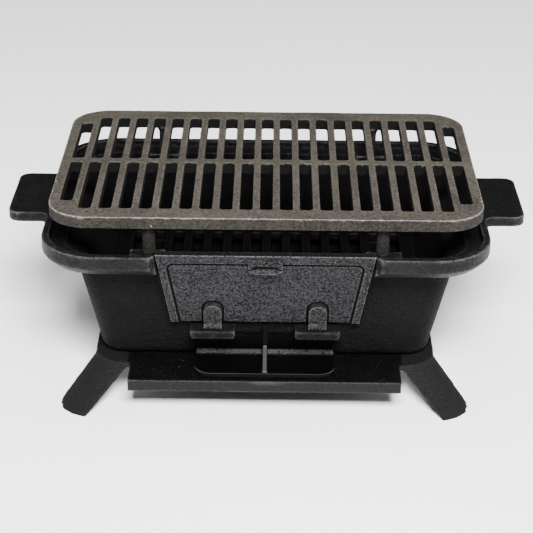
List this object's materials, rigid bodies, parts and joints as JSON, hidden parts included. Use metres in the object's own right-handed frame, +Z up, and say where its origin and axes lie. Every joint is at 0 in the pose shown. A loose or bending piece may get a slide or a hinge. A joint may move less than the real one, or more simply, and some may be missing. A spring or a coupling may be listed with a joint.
{
  "type": "hibachi grill",
  "caption": "Cast-iron tabletop charcoal grill: tapered firebox on a splayed-leg base, slotted cooking grate on posts, charcoal grate, drop-down fire door and sliding draft door.",
  "frame": {"origin": "on the ground under the middle of the grill", "axes": "+X along the grill to its right handle, -Y towards the user and the fire door, +Z up"},
  "size_m": [0.484, 0.3064, 0.1923],
  "materials": {
    "base_iron": "satin black seasoned casting",
    "bowl_iron": "satin black seasoned casting",
    "raw_iron": "raw grey-brown sand-cast iron",
    "grate_iron": "matt black sand-cast iron",
    "door_iron": "pebbled dark grey casting",
    "draft_iron": "satin black seasoned casting",
    "zinc_steel": "zinc plated"
  },
  "bodies": {
    "firebox": {"base": "base_iron", "bowl": "bowl_iron", "bowl_floor": "bowl_iron", "bowl_rim": "bowl_iron", "hinge_brackets": "bowl_iron", "coal_ribs": "bowl_iron", "bolt_left": "zinc_steel", "bolt_right": "zinc_steel", "washer_left": "zinc_steel", "washer_right": "zinc_steel", "wing_nut_left": "zinc_steel", "wing_nut_right": "zinc_steel"},
    "cooking_grate": {"cooking_grate": "raw_iron", "grate_posts": "raw_iron"},
    "charcoal_grate": {"charcoal_grate": "grate_iron"},
    "fire_door": {"fire_door": "door_iron"},
    "draft_door": {"draft_door": "draft_iron"}
  },
  "joints": [
    {"name": "cooking_grate_lift", "type": "slide", "parent": "firebox", "child": "cooking_grate", "axis": [0, 0, 1], "range_m": [0, 0.08]},
    {"name": "charcoal_grate_lift", "type": "slide", "parent": "firebox", "child": "charcoal_grate", "axis": [0, 0, 1], "range_m": [0, 0.06]},
    {"name": "fire_door_hinge", "type": "hinge", "parent": "firebox", "child": "fire_door", "pos_m": [0, -0.1135, 0.0755], "axis": [1, 0, 0], "range_deg": [0, 70]},
    {"name": "draft_door_slide", "type": "slide", "parent": "firebox", "child": "draft_door", "axis": [0, -1, 0], "range_m": [0, 0.03]}
  ]
}
